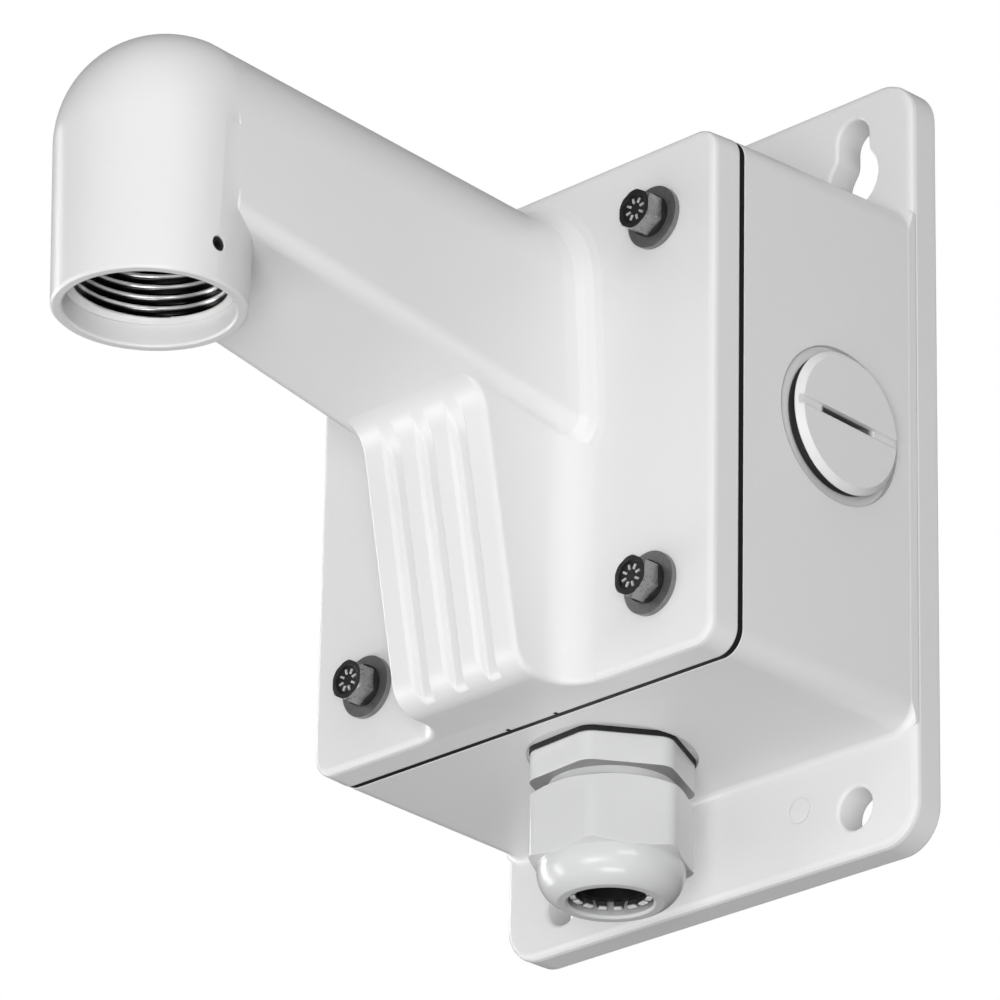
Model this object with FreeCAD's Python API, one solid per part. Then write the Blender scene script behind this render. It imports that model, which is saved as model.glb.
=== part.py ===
import FreeCAD, Part
import math
import os

# Camera wall bracket: a cast wall box with ears, and a cast cover with a one-piece hollow arm.
# Millimetres, +Z up. The origin is the middle of the wall plate's back, in the wall plane y = 0.
# The bracket stands out along -Y, and the camera thread at its tip opens downwards.

# Wall plate and its fixing holes
plate_width = 115.0
plate_thickness = 7.2
plate_corner_radius = 9.0
plate_edge_radius = 1.5
upper_ear = 31.0
lower_ear = 23.4
hole_inset = 16.5
hole_edge_radius = 0.8
lower_hole_inset = 10.5
lower_hole_radius = 4.5
keyhole_inset = 9.5
keyhole_drop = 9.4
keyhole_slot_radius = 4.3
keyhole_head_radius = 6.8
keyhole_neck_radius = 4.0
back_core_depth = 3.8
back_rim = 3.2
back_rib = 3.2
hole_boss_wall = 3.2

# Box: a drafted square shell, open towards the cover
box_depth = 49.3
box_side_draft = 1.15
box_end_draft = 1.45
box_root_corner = 6.0
box_mouth_corner = 5.0
box_wall = 3.2
box_root_blend = 1.6
screw_inset = 16.35
boss_radius = 5.6
boss_web = 2.6
boss_web_drop = 4.0

# Gasket and cover plate
gasket_thickness = 1.5
gasket_width = 2.6
gasket_inner_corner = 2.3
cover_thickness = 7.2
cover_draft = 0.25
cover_edge_radius = 1.4
cover_rim = 6.4
cover_skin = 3.4
cover_hollow_corner = 3.0
cover_boss_radius = 7.0
pry_notch_width = 13.4
pry_notch_depth = 0.8
pry_notch_reach = 4.6

# Arm: a D section that grows towards the wall, on a round nose
arm_fall = 3.5
arm_wall = 3.2
nose_radius = 20.2
nose_bend = 3.8
nose_top_inset = 3.55
arm_root_radius = 20.0
arm_root_inset = 5.85
arm_nose_foot = 19.6
arm_nose_foot_drop = 23.0
arm_root_foot = 22.4
arm_root_foot_drop = 33.0
arm_foot_radius = 3.6
arm_least_foot_radius = 0.6
arm_flare = 5.0

# Spout with the female pipe thread for the camera
spout_y = -164.4
spout_rim_drop = 2.1
spout_rim_radius = 19.2
spout_rim_edge = 0.5
thread_minor_radius = 15.15
thread_length = 19.0
thread_recess_radius = 16.8
thread_recess_depth = 4.6
spout_recess_edge = 0.4
spout_throat_radius = 16.2
spout_knee_height = 1.0
grub_hole_rise = 7.9
grub_radius = 1.5
grub_length = 3.5
grub_inset = 0.4
grub_socket = 1.5
grub_socket_depth = 1.6

# Ribbed block under the arm
block_half_width = 17.5
block_reach = 19.65
block_reach_drop = 30.1
block_front_lean = 11.3
block_top_blend = 8.0
block_toe_radius = 7.0
block_flare = 7.0
block_edge_radius = 1.2
block_wall = 4.6
groove_count = 3
groove_pitch = 9.2
groove_width = 3.9
groove_depth = 2.1
groove_lip = 0.7
groove_lip_start = 0.1
groove_side_slope = 0.2
groove_floor_bevel = 0.4
groove_run_out = 1.2

# Cover screws: hexagon head, spring washer, flat washer
screw_radius = 2.5
screw_length = 22.0
screw_head_flats = 8.0
screw_head_height = 3.9
screw_head_bevel = 0.5
screw_head_turn = 30.0
screw_dish_radius = 3.1
screw_dish_depth = 0.5
flat_washer_radius = 6.6
flat_washer_thickness = 1.2
spring_washer_radius = 4.4
spring_washer_thickness = 1.3
spring_washer_gap = 0.7

# Side plug with its seal
plug_setback = 27.55
plug_rise = 1.1
plug_head_radius = 15.1
plug_head_height = 1.5
plug_head_bevel = 1.3
plug_neck_radius = 12.0
plug_thread_radius = 12.5
plug_thread_length = 8.5
plug_core_radius = 9.5
plug_web = 2.0
plug_slot_turn = -2.4
plug_slot_width = 2.0
plug_slot_depth = 0.8
plug_slot_cutter_radius = 15.0
plug_slot_cutter_depth = 3.0
spot_face_radius = 16.9
spot_face_depth = 0.74
plug_seal_thickness = 2.6
plug_seal_radius = 14.8
plug_seal_bulge = 0.9
side_boss_radius = 16.0
side_boss_height = 4.5

# Cable gland under the box
gland_setback = 21.8
gland_thread_radius = 12.5
gland_bore_radius = 9.2
gland_seal_washer_rim = 0.2
gland_seal_washer_thickness = 1.15
gland_seat_radius = 17.4
gland_hex_flats = 30.4
gland_hex_turn = -4.0
gland_hex_rounding = 4.0
gland_hex_height = 6.2
gland_shank_length = 11.0
gland_collar_length = 11.0
gland_nut_gap = 2.33
cap_flats = 30.5
cap_rounding = 3.0
cap_round_radius = 15.0
cap_top_bevel = 1.2
cap_straight = 14.0
cap_shoulder = 0.9
cap_height = 22.3
cap_dome_radius = 10.8
cap_dome_bulge = 1.4
cap_wall = 2.1
cap_lip = 0.5
cap_mouth_radius = 8.6
claw_count = 16
claw_gap = 1.35
claw_ring_height = 3.0
claw_thickness = 1.6
claw_tip_outer = 8.4
claw_tip_inner = 7.1
claw_tip_inset = 1.6
seal_bore_radius = 6.4
seal_lip = 1.7
lock_nut_flats = 32.0
lock_nut_height = 5.0
lock_nut_pad_radius = 19.0

# Rounded edges and inner corners
edge_steps = 3
flare_steps = 4
flare_bury = 0.5
flare_sink = 1.0

# Fits
thread_clearance = 0.06
hole_clearance = 0.25
seat_clearance = 0.1
overlap = 0.05

# Places worked out from the sizes above
box_mouth_half = plate_width / 2.0 - box_side_draft
box_root_half = plate_width / 2.0
box_root_half_height = box_mouth_half + box_end_draft
box_centre_z = (lower_ear - upper_ear) / 2.0
plate_half_height = box_root_half_height + (lower_ear + upper_ear) / 2.0
plate_height = 2.0 * plate_half_height
plate_front_y = -plate_thickness
box_mouth_y = plate_front_y - box_depth
gasket_front_y = box_mouth_y - gasket_thickness
cover_front_y = gasket_front_y - cover_thickness
screw_reach = box_mouth_half - screw_inset
screw_places = [(side * screw_reach, box_centre_z + level * screw_reach)
                for side in (-1, 1) for level in (-1, 1)]
hole_reach = plate_width / 2.0 - hole_inset
hole_sides = (-hole_reach, hole_reach)
lower_hole_z = lower_hole_inset - plate_half_height
keyhole_slot_z = plate_half_height - keyhole_inset
nose_bend_z = box_centre_z + box_mouth_half - nose_top_inset - nose_radius
arm_root_centre_z = box_centre_z + box_mouth_half - arm_root_inset - arm_root_radius
spout_rim_z = box_centre_z - spout_rim_drop
grub_hole_z = spout_rim_z + grub_hole_rise
block_front_y = cover_front_y - block_reach
block_front_z = box_centre_z - block_reach_drop
plug_y = box_mouth_y + plug_setback
plug_z = box_centre_z + plug_rise
gland_y = box_mouth_y + gland_setback

X_AXIS = FreeCAD.Vector(1, 0, 0)
Y_AXIS = FreeCAD.Vector(0, 1, 0)
Z_AXIS = FreeCAD.Vector(0, 0, 1)

os.makedirs("parts", exist_ok=True)


def vec(x, y, z):
    return FreeCAD.Vector(x, y, z)


def line(a, b):
    return Part.LineSegment(a, b).toShape()


def arc(a, middle, b):
    return Part.Arc(a, middle, b).toShape()


def cylinder(radius, length, base, direction):
    return Part.makeCylinder(radius, length, base, direction)


def tube(outer, inner, length, base, direction):
    return cylinder(outer, length, base, direction).cut(cylinder(inner, length, base, direction))


def fused(shapes):
    whole = shapes[0]
    for piece in shapes[1:]:
        whole = whole.fuse(piece)
    return whole.removeSplitter()


def cut_all(shape, tools):
    for tool in tools:
        shape = shape.cut(tool)
    return shape.removeSplitter()


def extrude_outline(edges, reach):
    return Part.Face(Part.Wire(edges)).extrude(reach)


def revolve_outline(points, base, axis, angle=360.0):
    corners = points + points[:1]
    edges = [line(a, b) for a, b in zip(corners, corners[1:])]
    return Part.Face(Part.Wire(edges)).revolve(base, axis, angle)


def rounded_square(half_width, half_height, radius, centre_z, y):
    # Outline in the XZ plane at one depth, with quarter-circle corners.
    w = half_width - radius
    h = half_height - radius
    bend = radius * math.sqrt(0.5)
    edges = []
    corners = ((1, 1), (-1, 1), (-1, -1), (1, -1))
    for index, (sx, sz) in enumerate(corners):
        centre = vec(sx * w, y, centre_z + sz * h)
        along_x = centre + vec(sx * radius, 0, 0)
        along_z = centre + vec(0, 0, sz * radius)
        first, last = (along_x, along_z) if sx * sz > 0 else (along_z, along_x)
        edges.append(arc(first, centre + vec(sx * bend, 0, sz * bend), last))
    joined = []
    for index, edge in enumerate(edges):
        joined.append(edge)
        following = edges[(index + 1) % len(edges)]
        joined.append(line(edge.Vertexes[-1].Point, following.Vertexes[0].Point))
    return Part.Wire(joined)


def loft(wires):
    return Part.makeLoft(wires, True, True)


def root_flare(ring, radius, foot_y):
    # Rounded inner corner where a body of the given rings stands on a face: short lofts on a quarter circle
    # that starts inside the body and ends inside the face.
    rings = [ring(foot_y - 2.0 * radius, -flare_bury)]
    for index in range(1, flare_steps + 1):
        angle = math.radians(90.0 * index / flare_steps)
        rings.append(ring(foot_y - radius * (1.0 - math.sin(angle)), radius * (1.0 - math.cos(angle))))
    rings.append(ring(foot_y + flare_sink, radius))
    return [loft([a, b]) for a, b in zip(rings, rings[1:])]


def hexagon_prism(flats, height, base, direction, turn=0.0, rounding=0.0):
    # A hexagon about the given axis; turn is the angle of its first corner in degrees.
    corner_radius = flats / math.sqrt(3.0)
    spin = FreeCAD.Rotation(Z_AXIS, direction)
    points = []
    for index in range(6):
        angle = math.radians(turn + 60.0 * index)
        corner = vec(corner_radius * math.cos(angle), corner_radius * math.sin(angle), 0)
        points.append(base + spin.multVec(corner))
    if rounding:
        bends = [blend_corner(points[index - 1], point, points[(index + 1) % 6], rounding)
                 for index, point in enumerate(points)]
        edges = []
        for bend, following in zip(bends, bends[1:] + bends[:1]):
            edges += [arc(*bend), line(bend[2], following[0])]
    else:
        edges = [line(a, b) for a, b in zip(points, points[1:] + points[:1])]
    return extrude_outline(edges, FreeCAD.Vector(direction).multiply(height))


def blend_corner(before, corner, after, radius):
    # Tangent points and middle of the arc that rounds one corner of an outline.
    towards_before = (before - corner).normalize()
    towards_after = (after - corner).normalize()
    half_angle = towards_before.getAngle(towards_after) / 2.0
    reach = radius / math.tan(half_angle)
    middle_way = (towards_before + towards_after).normalize()
    centre = corner + middle_way * (radius / math.sin(half_angle))
    return corner + towards_before * reach, centre - middle_way * radius, corner + towards_after * reach


def bevelled_disc(radius, height, bevel, base, direction):
    # A disc whose far edge is bevelled.
    body = cylinder(radius, height - bevel, base, direction)
    top = base + direction * (height - bevel)
    return body.fuse(Part.makeCone(radius, radius - bevel, bevel, top, direction)).removeSplitter()


def keyhole_outline(x, y):
    # Narrow slot above a round head opening, with rounded necks between them.
    head_z = keyhole_slot_z - keyhole_drop
    neck_offset = keyhole_slot_radius + keyhole_neck_radius
    neck_reach = keyhole_head_radius + keyhole_neck_radius
    neck_z = head_z + math.sqrt(neck_reach ** 2 - neck_offset ** 2)
    touch = keyhole_head_radius / neck_reach
    touch_x = neck_offset * touch
    touch_z = head_z + (neck_z - head_z) * touch
    neck_middle = math.atan2(touch_z - neck_z, touch_x - neck_offset)
    neck_middle = (neck_middle + math.pi) % (2.0 * math.pi)
    bend_angle = math.pi + neck_middle / 2.0
    neck_x = neck_offset + keyhole_neck_radius * math.cos(bend_angle)
    neck_mid_z = neck_z + keyhole_neck_radius * math.sin(bend_angle)
    slot_top = vec(x, y, keyhole_slot_z + keyhole_slot_radius)
    right_top = vec(x + keyhole_slot_radius, y, keyhole_slot_z)
    left_top = vec(x - keyhole_slot_radius, y, keyhole_slot_z)
    right_neck = vec(x + keyhole_slot_radius, y, neck_z)
    left_neck = vec(x - keyhole_slot_radius, y, neck_z)
    right_touch = vec(x + touch_x, y, touch_z)
    left_touch = vec(x - touch_x, y, touch_z)
    return [arc(left_top, slot_top, right_top),
            line(right_top, right_neck),
            arc(right_neck, vec(x + neck_x, y, neck_mid_z), right_touch),
            arc(right_touch, vec(x, y, head_z - keyhole_head_radius), left_touch),
            arc(left_touch, vec(x - neck_x, y, neck_mid_z), left_neck),
            line(left_neck, left_top)]


def edge_rings(half_width, half_height, corner, centre_z, front_y, radius):
    # Outlines down a rounded front edge, from the sides to the front face.
    rings = []
    for index in range(edge_steps + 1):
        angle = math.radians(90.0 * index / edge_steps)
        inset = radius * (1.0 - math.cos(angle))
        rings.append(rounded_square(half_width - inset, half_height - inset, corner - inset, centre_z,
                                    front_y + radius * (1.0 - math.sin(angle))))
    return rings


def slab(rings):
    return fused([loft([a, b]) for a, b in zip(rings, rings[1:])])


def wall_plate():
    # The plate with its rounded front edge and its four fixing holes, whose front edges are rounded.
    half_width = plate_width / 2.0
    back = rounded_square(half_width, plate_half_height, plate_corner_radius, 0.0, 0.0)
    plate = slab([back] + edge_rings(half_width, plate_half_height, plate_corner_radius, 0.0, plate_front_y,
                                     plate_edge_radius))
    cuts = []
    for x in hole_sides:
        cuts.append(cylinder(lower_hole_radius, plate_thickness, vec(x, 0, lower_hole_z), -Y_AXIS))
        cuts.append(extrude_outline(keyhole_outline(x, 0.0), vec(0, -plate_thickness, 0)))
    drilled = cut_all(plate, cuts)
    rims = []
    for edge in drilled.Edges:
        middle = edge.BoundBox.Center
        beside_hole = abs(abs(middle.x) - hole_reach) < keyhole_head_radius
        inside_edge = abs(middle.z) < plate_half_height - plate_edge_radius - seat_clearance
        if abs(edge.BoundBox.YMax - plate_front_y) < overlap and beside_hole and inside_edge:
            rims.append(edge)
    return drilled.makeFillet(hole_edge_radius, rims)


def back_cores():
    # Hollows in the plate's back, with a rim all round, ribs under the box walls, crossed ribs in the
    # middle and bosses at the holes.
    half_width = plate_width / 2.0 - back_rim
    outer_half = plate_half_height - back_rim
    corner = plate_corner_radius - back_rim
    core = loft([rounded_square(half_width, outer_half, corner, 0.0, 0.0),
                 rounded_square(half_width, outer_half, corner, 0.0, -back_core_depth)])
    kept = []
    for side in (-1, 1):
        rib_z = box_centre_z + side * (box_root_half_height - box_wall / 2.0) - box_wall / 2.0
        kept.append(Part.makeBox(plate_width, back_core_depth, box_wall,
                                 vec(-plate_width / 2.0, -back_core_depth, rib_z)))
    kept.append(Part.makeBox(plate_width, back_core_depth, back_rib,
                             vec(-plate_width / 2.0, -back_core_depth, -back_rib / 2.0)))
    kept.append(Part.makeBox(back_rib, back_core_depth, plate_height,
                             vec(-back_rib / 2.0, -back_core_depth, -plate_half_height)))
    head_z = keyhole_slot_z - keyhole_drop
    for x in hole_sides:
        kept.append(cylinder(lower_hole_radius + hole_boss_wall, back_core_depth,
                             vec(x, 0, lower_hole_z), -Y_AXIS))
        kept.append(cylinder(keyhole_head_radius + hole_boss_wall, back_core_depth,
                             vec(x, 0, head_z), -Y_AXIS))
        kept.append(cylinder(keyhole_slot_radius + hole_boss_wall, back_core_depth,
                             vec(x, 0, keyhole_slot_z), -Y_AXIS))
    return cut_all(core, kept)


def box_ring(y, grow):
    # Outline of the drafted box at one depth, grown by one offset.
    corner = box_root_corner + (box_mouth_corner - box_root_corner) * box_share(y)
    half_height = box_centre_z - box_bottom_z(y)
    return rounded_square(box_side_x(y) + grow, half_height + grow, corner + grow, box_centre_z, y)


def box_root_flare():
    # Rounded inner corner where the box stands on the plate, trimmed flush with the plate's sides.
    grown = fused(root_flare(box_ring, box_root_blend, plate_front_y))
    within = Part.makeBox(plate_width, plate_height, plate_height,
                          vec(-plate_width / 2.0, -plate_height, -plate_half_height))
    return grown.common(within)


def wall_box():
    # One casting: plate with ears, box walls, screw bosses and the inner boss of the side port.
    outer = loft([rounded_square(box_root_half, box_root_half_height, box_root_corner, box_centre_z,
                                 plate_front_y + flare_sink),
                  rounded_square(box_mouth_half, box_mouth_half, box_mouth_corner, box_centre_z,
                                 box_mouth_y)])
    body = wall_plate().fuse(outer)
    body = body.fuse(box_root_flare())
    inner = loft([rounded_square(box_root_half - box_wall, box_root_half_height - box_wall,
                                 box_root_corner - box_wall, box_centre_z, plate_front_y),
                  rounded_square(box_mouth_half - box_wall, box_mouth_half - box_wall,
                                 box_mouth_corner - box_wall, box_centre_z, box_mouth_y)])
    shell = body.cut(inner)
    depth = plate_front_y - box_mouth_y
    inside = []
    for x, z in screw_places:
        side = 1 if x > 0 else -1
        level = 1 if z > box_centre_z else -1
        inside.append(cylinder(boss_radius, depth, vec(x, plate_front_y, z), -Y_AXIS))
        web_depth = depth - boss_web_drop
        web_y = plate_front_y - web_depth
        reach = box_root_half - abs(x)
        inside.append(Part.makeBox(reach, web_depth, boss_web,
                                   vec(min(x, x + side * reach), web_y, z - boss_web / 2.0)))
        inside.append(Part.makeBox(boss_web, web_depth, reach,
                                   vec(x - boss_web / 2.0, web_y, min(z, z + level * reach))))
    port_face = box_root_half - box_wall - side_boss_height
    inside.append(cylinder(side_boss_radius, box_root_half - port_face,
                           vec(port_face, plug_y, plug_z), X_AXIS))
    inside.append(cylinder(lock_nut_pad_radius, box_wall, vec(0, gland_y, lock_nut_seat_z()), -Z_AXIS))
    shell = shell.fuse(fused(inside).common(inner.fuse(outer.common(body))))
    cuts = [back_cores()]
    for x, z in screw_places:
        cuts.append(cylinder(screw_radius + thread_clearance, depth - box_wall,
                             vec(x, box_mouth_y, z), Y_AXIS))
    cuts.append(cylinder(plug_thread_radius + thread_clearance, 2.0 * box_wall + side_boss_height,
                         vec(port_face - overlap, plug_y, plug_z), X_AXIS))
    cuts.append(cylinder(spot_face_radius, box_root_half, vec(spot_face_x(), plug_y, plug_z), X_AXIS))
    below = box_root_half_height
    gland_seat = vec(0, gland_y, gland_top_z())
    through = below + lock_nut_seat_z() - gland_seat.z + overlap
    cuts.append(cylinder(gland_thread_radius + hole_clearance, through, gland_seat - Z_AXIS * below, Z_AXIS))
    cuts.append(cylinder(gland_seat_radius, below, gland_seat, -Z_AXIS))
    return cut_all(shell, cuts)


def box_share(y):
    return (plate_front_y + flare_sink - y) / (plate_front_y + flare_sink - box_mouth_y)


def box_side_x(y):
    return box_root_half + (box_mouth_half - box_root_half) * box_share(y)


def box_bottom_z(y):
    return box_centre_z - box_root_half_height - (box_mouth_half - box_root_half_height) * box_share(y)


def spot_face_x():
    lowest = min(box_side_x(plug_y - spot_face_radius), box_side_x(plug_y + spot_face_radius))
    return lowest - spot_face_depth


def gasket():
    outer = rounded_square(box_mouth_half - seat_clearance, box_mouth_half - seat_clearance,
                           box_mouth_corner, box_centre_z, box_mouth_y)
    inset = gasket_width + seat_clearance
    inner = rounded_square(box_mouth_half - inset, box_mouth_half - inset,
                           gasket_inner_corner, box_centre_z, box_mouth_y)
    ring = Part.Face([outer, inner])
    ring.validate()
    return ring.extrude(vec(0, -gasket_thickness, 0))


def section(centre, up, radius, foot, drop, foot_radius):
    # Arm section: round top, tangent flanks that open downwards, flat foot with rounded corners.
    corner_angle = math.atan2(-drop, foot)
    touch_angle = corner_angle + math.acos(radius / math.hypot(foot, drop))
    touch = (radius * math.cos(touch_angle), radius * math.sin(touch_angle))

    def place(x, height):
        return centre + X_AXIS * x + up * height

    foot_start, foot_mid, foot_end = blend_corner(place(0, -drop), place(foot, -drop), place(*touch),
                                                  foot_radius)

    def mirrored(point):
        return vec(-point.x, point.y, point.z)

    return Part.Wire([line(mirrored(foot_start), foot_start),
                      arc(foot_start, foot_mid, foot_end),
                      line(foot_end, place(*touch)),
                      arc(place(*touch), place(0, radius), mirrored(place(*touch))),
                      line(mirrored(place(*touch)), mirrored(foot_end)),
                      arc(mirrored(foot_end), mirrored(foot_mid), mirrored(foot_start))])


def nose_frame():
    # Centre and upward direction of the section where the bend hands over to the arm.
    turn = math.radians(90.0 - arm_fall)
    up = vec(0, -math.cos(turn), math.sin(turn))
    pivot = vec(0, spout_y + nose_bend, nose_bend_z)
    return pivot + up * nose_bend, up


def arm_section(y, grow):
    # Upright arm section at a depth near the wall end, grown or shrunk by one offset.
    nose, _ = nose_frame()
    share = (y - nose.y) / (cover_front_y - nose.y)

    def between(at_nose, at_root):
        return at_nose + (at_root - at_nose) * share

    centre = vec(0, y, between(nose.z, arm_root_centre_z))
    return section(centre, Z_AXIS, between(nose_radius, arm_root_radius) + grow,
                   between(arm_nose_foot, arm_root_foot) + grow,
                   between(arm_nose_foot_drop, arm_root_foot_drop) + grow,
                   max(arm_foot_radius + grow, arm_least_foot_radius))


def arm_body(grow, end_y):
    nose, up = nose_frame()
    start = section(nose, up, nose_radius + grow, arm_nose_foot + grow, arm_nose_foot_drop + grow,
                    max(arm_foot_radius + grow, arm_least_foot_radius))
    return loft([start, arm_section(end_y, grow)])


def nose_bend_body(radius):
    # The outer part of a bend about an axis inside the tube, turned from down to along the arm.
    pivot = vec(0, spout_y + nose_bend, nose_bend_z)
    centre = vec(0, spout_y, nose_bend_z)
    half = math.sqrt(radius ** 2 - nose_bend ** 2)
    near = vec(half, pivot.y, nose_bend_z)
    far = vec(-half, pivot.y, nose_bend_z)
    profile = Part.Face(Part.Wire([arc(near, centre - Y_AXIS * radius, far), line(far, near)]))
    return profile.revolve(pivot, -X_AXIS, 90.0 - arm_fall)


def spout_outside():
    height = nose_bend_z - spout_rim_z
    rim = vec(0, spout_y, spout_rim_z)
    edge = spout_rim_edge
    taper = Part.makeCone(spout_rim_radius, nose_radius, height - edge, rim + Z_AXIS * edge, Z_AXIS)
    return taper.fuse(Part.makeCone(spout_rim_radius - edge, spout_rim_radius, edge, rim, Z_AXIS))


def arm_underside_z(y):
    nose, up = nose_frame()
    start = nose - up * arm_nose_foot_drop
    end_z = arm_root_centre_z - arm_root_foot_drop
    return start.z + (end_z - start.z) * (y - start.y) / (cover_front_y - start.y)


def block_corners(inset, groove, x):
    # Corners of the block's side outline: on the arm's underside ahead, in the hollow corner, at the toe
    # and behind.
    lean = math.tan(math.radians(block_front_lean))
    back = (inset + groove) / math.cos(math.radians(block_front_lean))
    fall = arm_underside_z(cover_front_y) - arm_underside_z(block_front_y)
    slope = fall / (cover_front_y - block_front_y)
    foot_y = block_front_y + lean * block_front_z + back
    level = arm_underside_z(0.0) + overlap
    hollow_z = (level + slope * foot_y) / (1.0 + slope * lean)
    bottom_z = box_centre_z - box_mouth_half + cover_draft + inset
    hollow = vec(x, foot_y - lean * hollow_z, hollow_z)
    ahead = vec(x, spout_y, level + slope * spout_y)
    toe = vec(x, foot_y - lean * bottom_z, bottom_z)
    heel = vec(x, gasket_front_y - cover_skin, bottom_z)
    roof = vec(x, heel.y, level + slope * heel.y)
    return ahead, hollow, toe, heel, roof


def block_outline(x, inset=0.0, groove=0.0, rise=0.0):
    # Side outline of the block under the arm: leaning front, round toe, hollow corner under the arm.
    # A groove's floor lies deeper than the strips and crosses them a little before their roundings end.
    ahead, hollow, toe, heel, roof = block_corners(inset, groove, x)
    _, plain_hollow, plain_toe, _, _ = block_corners(inset, 0.0, x)
    half_hollow = (ahead - hollow).getAngle(toe - hollow) / 2.0
    half_toe = (hollow - toe).getAngle(heel - toe) / 2.0
    run_out = groove_run_out if groove else 0.0
    hollow_reach = hollow.distanceToPoint(plain_hollow) + run_out
    toe_reach = toe.distanceToPoint(plain_toe) + run_out
    hollow_radius = block_top_blend + inset + hollow_reach * math.tan(half_hollow)
    toe_radius = block_toe_radius - inset - toe_reach * math.tan(half_toe)
    roof_first, roof_mid, roof_last = blend_corner(ahead, hollow, toe, hollow_radius)
    toe_first, toe_mid, toe_last = blend_corner(hollow, toe, heel, toe_radius)
    corners = [heel, roof + Z_AXIS * rise]
    if rise:
        corners.append(roof_first + Z_AXIS * rise)
    corners.append(roof_first)
    return [arc(roof_first, roof_mid, roof_last), line(roof_last, toe_first),
            arc(toe_first, toe_mid, toe_last), line(toe_last, heel)] + [
                line(a, b) for a, b in zip(corners, corners[1:])]


def block_under_arm():
    half = block_half_width + block_flare
    side_view = extrude_outline(block_outline(-half, rise=arm_wall / 2.0), vec(2.0 * half, 0, 0))
    low = vec(0, 0, -plate_height)
    r = block_flare
    w = block_half_width
    bend = r * (1.0 - math.sqrt(0.5))
    front = spout_y
    back = gasket_front_y - cover_skin
    plan = [line(vec(-w, front, 0) + low, vec(w, front, 0) + low),
            line(vec(w, front, 0) + low, vec(w, cover_front_y - r, 0) + low),
            arc(vec(w, cover_front_y - r, 0) + low, vec(w + bend, cover_front_y - bend, 0) + low,
                vec(w + r, cover_front_y, 0) + low),
            line(vec(w + r, cover_front_y, 0) + low, vec(w + r, back, 0) + low),
            line(vec(w + r, back, 0) + low, vec(-w - r, back, 0) + low),
            line(vec(-w - r, back, 0) + low, vec(-w - r, cover_front_y, 0) + low),
            arc(vec(-w - r, cover_front_y, 0) + low, vec(-w - bend, cover_front_y - bend, 0) + low,
                vec(-w, cover_front_y - r, 0) + low),
            line(vec(-w, cover_front_y - r, 0) + low, vec(-w, front, 0) + low)]
    block = side_view.common(extrude_outline(plan, vec(0, 0, 2.0 * plate_height)))
    sides = []
    for edge in block.Edges:
        box = edge.BoundBox
        on_side = box.XLength < overlap and abs(abs(box.XMax) - w) < overlap
        if on_side and box.ZMax < arm_underside_z(box.YMin) and box.YMax < cover_front_y - r + overlap:
            sides.append(edge)
    return block.makeFillet(block_edge_radius, sides)


def groove_profile(x):
    # Places across one groove with the depth at each, from the lip over the floor to the other lip.
    half = groove_width / 2.0
    lip = [(half + groove_lip_start + groove_lip, -groove_lip_start), (half, groove_lip)]
    foot = half - groove_side_slope * (groove_depth - groove_lip)
    lip += [(foot, groove_depth - groove_floor_bevel), (foot - groove_floor_bevel, groove_depth)]
    left = [(x - reach, depth) for reach, depth in lip]
    right = [(x + reach, depth) for reach, depth in reversed(lip)]
    return left + right


def grooves():
    # Upright channels in the leaning front that run out in the corner above and round the toe.
    cutters = []
    first = -(groove_count - 1) * groove_pitch / 2.0
    for index in range(groove_count):
        profile = groove_profile(first + index * groove_pitch)
        floors = [Part.Wire(block_outline(x, groove=depth, rise=arm_wall / 2.0)) for x, depth in profile]
        core = Part.makeLoft(floors, True, True)
        start, end = profile[0][0], profile[-1][0]
        whole = extrude_outline(block_outline(start, rise=arm_wall / 2.0), vec(end - start, 0, 0))
        cutters.append(whole.cut(core))
    return cutters


def cover_plate():
    front_half = box_mouth_half - cover_draft
    back = rounded_square(box_mouth_half, box_mouth_half, box_mouth_corner, box_centre_z, gasket_front_y)
    return slab([back] + edge_rings(front_half, front_half, box_mouth_corner, box_centre_z, cover_front_y,
                                    cover_edge_radius))


def cover_hollow():
    half = box_mouth_half - cover_rim
    depth = cover_thickness - cover_skin
    recess = loft([rounded_square(half, half, cover_hollow_corner, box_centre_z, gasket_front_y),
                   rounded_square(half, half, cover_hollow_corner, box_centre_z, gasket_front_y - depth)])
    for x, z in screw_places:
        recess = recess.cut(cylinder(cover_boss_radius, depth, vec(x, gasket_front_y, z), -Y_AXIS))
    return recess


def arm_hollow():
    # Cable way: from the cover's back through the arm and round the nose to the spout.
    duct = arm_body(-arm_wall, gasket_front_y)
    bend = nose_bend_body(nose_radius - arm_wall)
    throat_start = spout_rim_z + thread_recess_depth
    throat = cylinder(spout_throat_radius, nose_bend_z - throat_start - thread_length,
                      vec(0, spout_y, throat_start + thread_length), Z_AXIS)
    knee = Part.makeCone(spout_throat_radius, nose_radius - arm_wall, spout_knee_height,
                         vec(0, spout_y, nose_bend_z - spout_knee_height), Z_AXIS)
    bore = cylinder(thread_minor_radius, thread_length + overlap,
                    vec(0, spout_y, throat_start - overlap), Z_AXIS)
    rim = vec(0, spout_y, spout_rim_z)
    recess = cylinder(thread_recess_radius, thread_recess_depth, rim, Z_AXIS)
    recess_edge = Part.makeCone(thread_recess_radius + spout_recess_edge, thread_recess_radius,
                                spout_recess_edge, rim, Z_AXIS)
    return [duct, bend, throat, knee, bore, recess, recess_edge]


def block_hollow():
    half = block_half_width - arm_wall
    return extrude_outline(block_outline(-half, inset=block_wall), vec(2.0 * half, 0, 0))


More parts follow.
